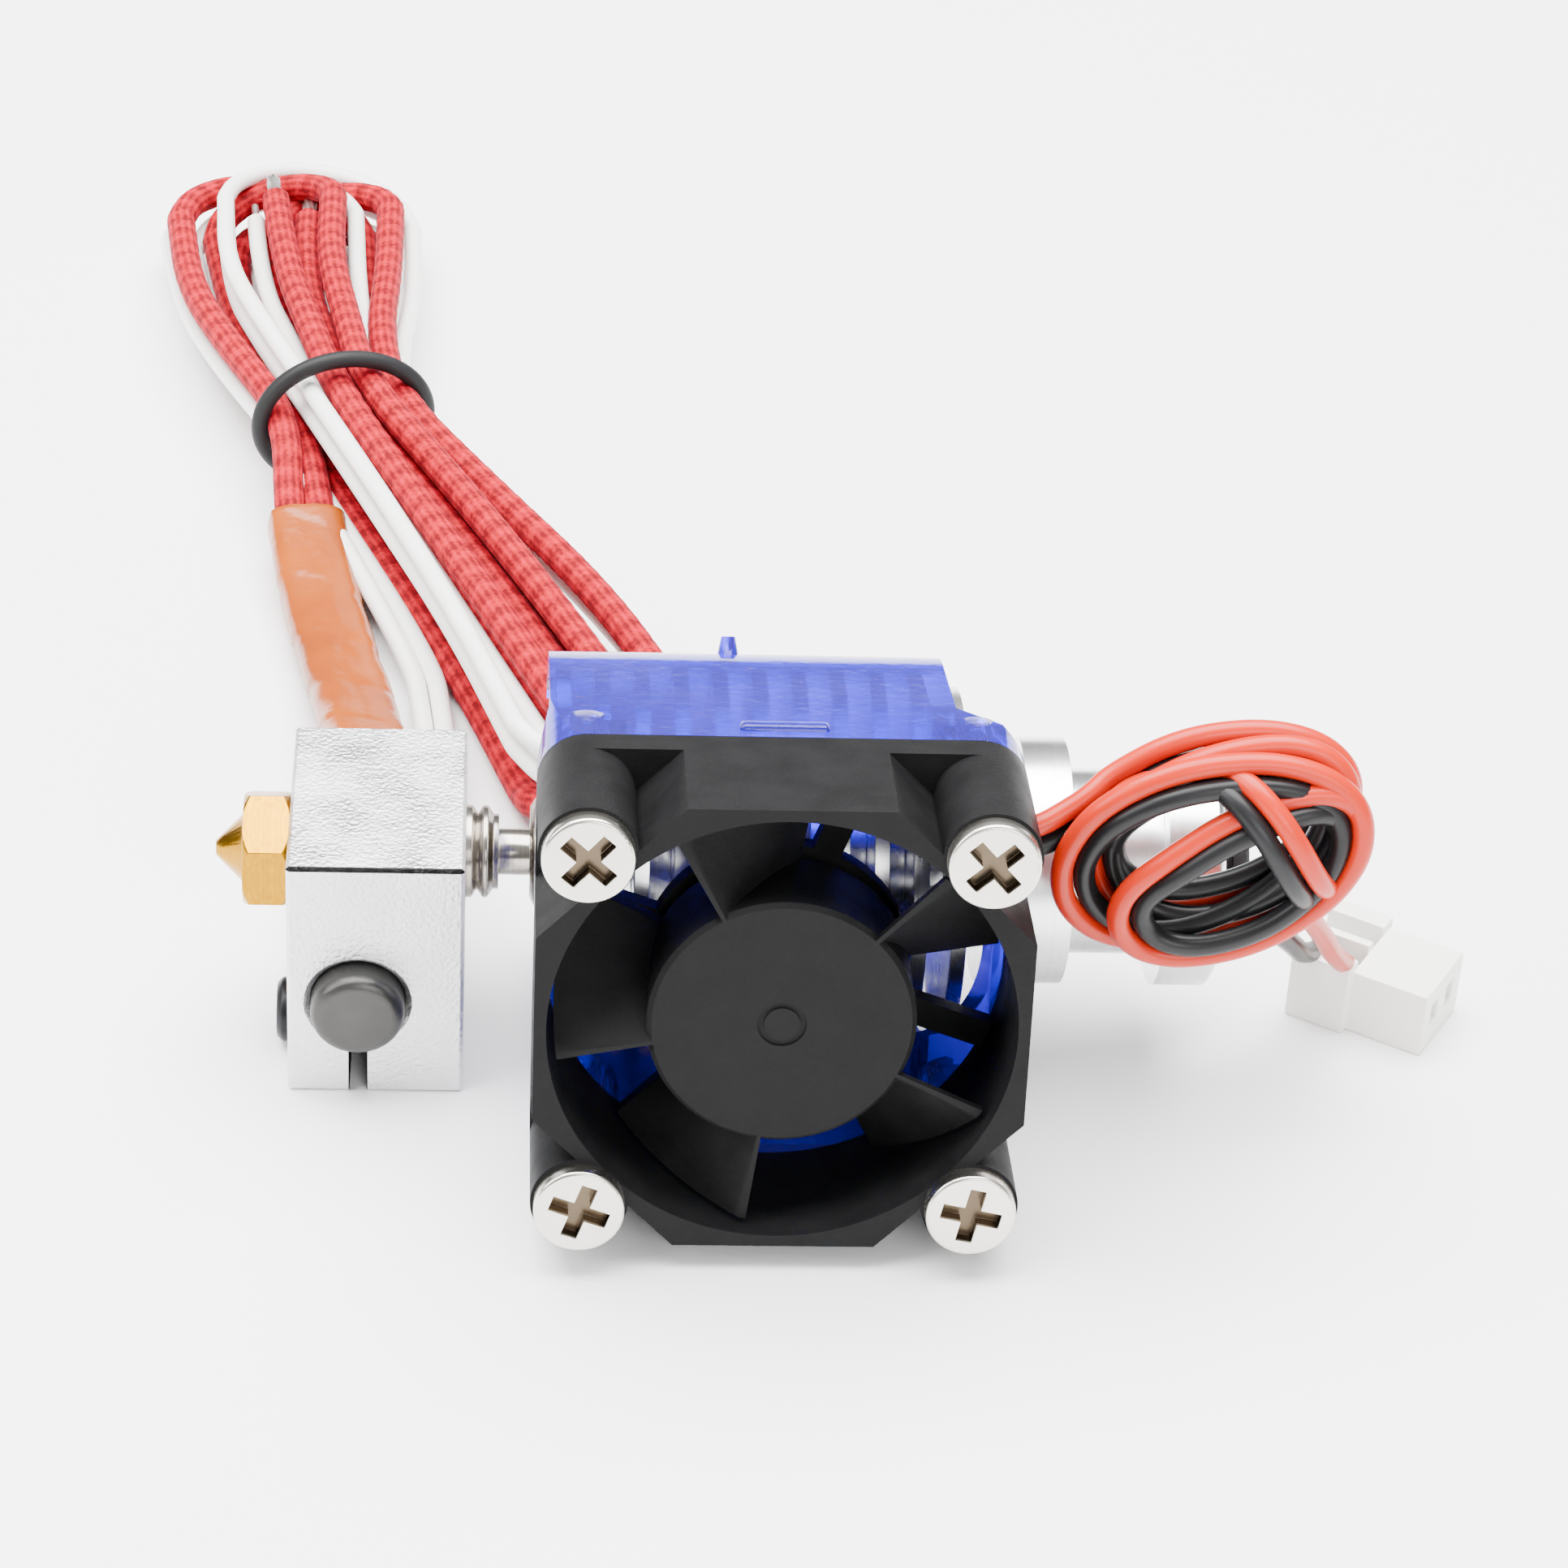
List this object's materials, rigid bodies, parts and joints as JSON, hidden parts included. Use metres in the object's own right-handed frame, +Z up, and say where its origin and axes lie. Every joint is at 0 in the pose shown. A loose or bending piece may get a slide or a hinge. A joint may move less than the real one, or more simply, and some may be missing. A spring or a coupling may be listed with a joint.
{
  "type": "hotend assembly",
  "caption": "Finned all-metal hotend with clamped heater block, brass nozzle, clip-on ducted cooling fan, groove mount, bundled heater and sensor leads and a plugged fan lead.",
  "frame": {"origin": "middle of the mounting groove, on the filament axis", "axes": "+X along the filament axis from the nozzle to the cold end, -Y towards the fan, +Z up as the part lies on a table"},
  "size_m": [0.093, 0.1396, 0.0321],
  "materials": {
    "aluminium_turned": "bright turned",
    "aluminium_milled": "pale milled, lightly rough",
    "brass": "bright machined",
    "black_plastic": "matte",
    "white_ptfe": "waxy",
    "stainless": "turned, faintly gold",
    "cartridge_steel": "dark oxidised",
    "cartridge_seal": "cement",
    "black_steel": "black oxide",
    "bead_glass": "glossy",
    "zinc_steel": "plated",
    "fan_plastic": "fine matte grain",
    "board_green": "lacquered",
    "steel_plain": "plain",
    "copper_wire": "enamelled copper",
    "label_paper": "plain film, no print",
    "magnet_black": "bonded ferrite",
    "nylon": "natural",
    "nickel_steel": "nickel plated",
    "blue_clear": "translucent gloss",
    "red_braid": "braided glass fibre",
    "white_insulation": "smooth",
    "amber_film": "translucent film",
    "black_rubber": "satin",
    "red_insulation": "satin",
    "black_insulation": "satin",
    "white_nylon": "milky translucent",
    "tin_contact": "tin plated"
  },
  "bodies": {
    "hotend": {"heatsink": "aluminium_turned", "collet_seat": "brass", "tube_liner": "white_ptfe", "heatbreak": "stainless", "nozzle": "brass", "heater_block": "aluminium_milled", "heater_cartridge": "cartridge_steel", "cartridge_seal": "cartridge_seal", "clamp_screw": "black_steel", "thermistor_bead": "bead_glass", "thermistor_washer": "zinc_steel", "thermistor_screw": "zinc_steel", "fan_frame": "fan_plastic", "sleeve_bearing": "brass", "fan_circuit_board": "board_green", "stator_core": "steel_plain", "stator_coils": "copper_wire", "fan_label": "label_paper", "fan_screws": "nickel_steel", "fan_duct": "blue_clear", "heater_lead_a": "red_braid", "heater_lead_b": "red_braid", "thermistor_lead_a": "white_insulation", "thermistor_lead_b": "white_insulation", "lead_wrap": "amber_film", "lead_hank": "red_braid", "tie_band": "black_rubber", "fan_lead_hank": "red_insulation", "fan_lead_red": "red_insulation", "fan_lead_black": "black_insulation", "fan_tail_red": "red_insulation", "fan_tail_black": "black_insulation", "connector_housing": "white_nylon", "connector_terminals": "tin_contact"},
    "rotor": {"impeller": "fan_plastic", "rotor_yoke": "steel_plain", "rotor_magnet": "magnet_black", "rotor_shaft": "steel_plain", "shaft_clip": "nylon"},
    "release_collet": {"collet": "black_plastic"}
  },
  "joints": [
    {"name": "impeller_spin", "type": "hinge", "parent": "hotend", "child": "rotor", "pos_m": [-0.0222, -0.01782, 0.00251], "axis": [0, -0.9903, 0.1392], "continuous": true},
    {"name": "collet_press", "type": "slide", "parent": "hotend", "child": "release_collet", "axis": [1, 0, 0], "range_m": [-0.001, 0]}
  ]
}
